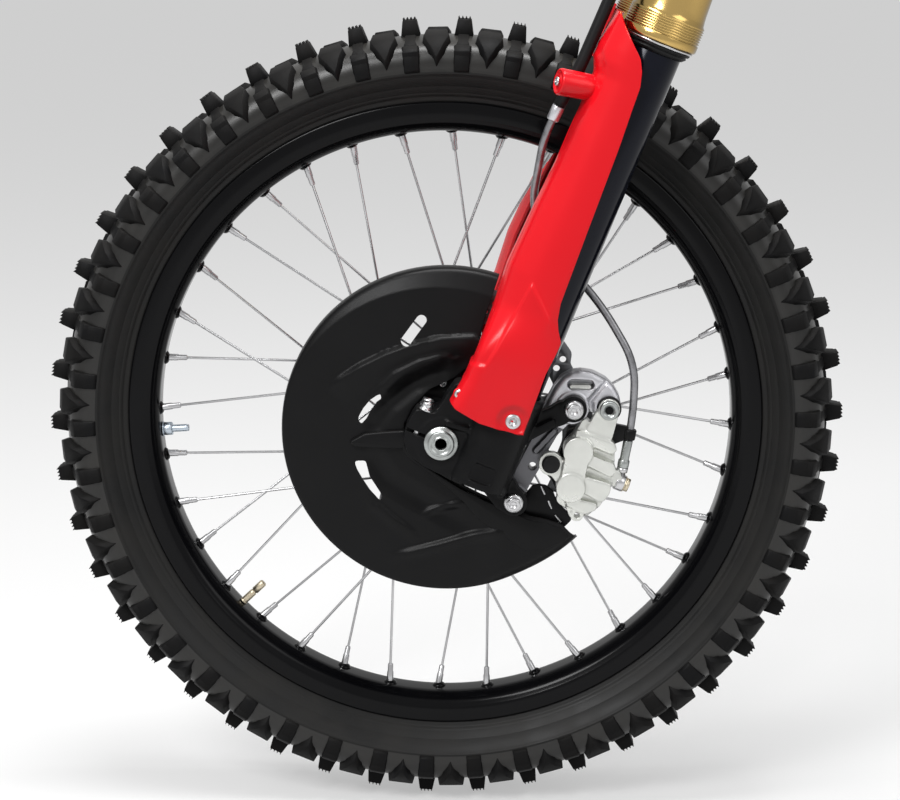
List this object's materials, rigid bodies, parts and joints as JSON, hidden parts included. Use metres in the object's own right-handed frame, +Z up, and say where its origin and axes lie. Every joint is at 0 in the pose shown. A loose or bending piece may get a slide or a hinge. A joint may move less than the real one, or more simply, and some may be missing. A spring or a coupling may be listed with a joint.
{
  "type": "motorcycle front wheel and fork assembly",
  "caption": "Motocross front end: knobbly spoked wheel, upside-down fork with red leg guards, disc brake and its guard, lower yoke and steering stem",
  "frame": {"origin": "on the steering stem's axis at the lower bearing seat", "axes": "+X rearward along the bike, +Y towards the bike's right, +Z up with the bike standing; the stem leans back by its rake"},
  "size_m": [0.772, 0.278, 1.2244],
  "materials": {
    "tyre_rubber": "rough",
    "black_alloy": "gloss",
    "black_cast": "satin",
    "disc_steel": "satin",
    "bright_steel": "gloss",
    "spoke_steel": "gloss",
    "zinc_steel": "satin",
    "brass": "satin",
    "coated_tube": "gloss",
    "seal_rubber": "satin",
    "gold_anodised": "satin",
    "red_plastic": "gloss",
    "black_plastic": "satin",
    "cast_alloy": "satin",
    "pad_material": "rough",
    "hose_braid": "satin",
    "hose_black": "satin"
  },
  "bodies": {
    "fork": {"axle": "bright_steel", "axle_nut": "bright_steel", "banjo_bolt": "bright_steel", "bracket_bolts": "bright_steel", "brake_hose": "hose_braid", "brake_pads": "pad_material", "caliper": "cast_alloy", "caliper_bracket": "cast_alloy", "caliper_pins": "bright_steel", "disc_guard": "black_plastic", "guard_screws": "bright_steel", "hose_clip": "black_plastic", "hose_fittings": "bright_steel", "hose_sheath": "hose_black", "left_axle_lug": "black_cast", "left_dust_seal": "seal_rubber", "left_fork_cap": "black_alloy", "left_inner_tube": "coated_tube", "left_leg_guard": "red_plastic", "left_outer_tube": "gold_anodised", "left_spacer": "bright_steel", "lower_yoke": "black_cast", "pinch_bolts": "bright_steel", "right_axle_lug": "black_cast", "right_dust_seal": "seal_rubber", "right_fork_cap": "black_alloy", "right_inner_tube": "coated_tube", "right_leg_guard": "red_plastic", "right_outer_tube": "gold_anodised", "right_spacer": "bright_steel", "steering_stem": "bright_steel", "yoke_bolts": "bright_steel"},
    "wheel": {"tyre": "tyre_rubber", "rim": "black_alloy", "hub": "black_alloy", "brake_disc": "disc_steel", "disc_bolts": "bright_steel", "valve": "brass", "rim_lock": "zinc_steel", "left_spokes": "spoke_steel", "right_spokes": "spoke_steel"}
  },
  "joints": [
    {"name": "wheel_spin", "type": "hinge", "parent": "fork", "child": "wheel", "pos_m": [-0.32704, 0, -0.65911], "axis": [0, 1, 0], "continuous": true}
  ]
}
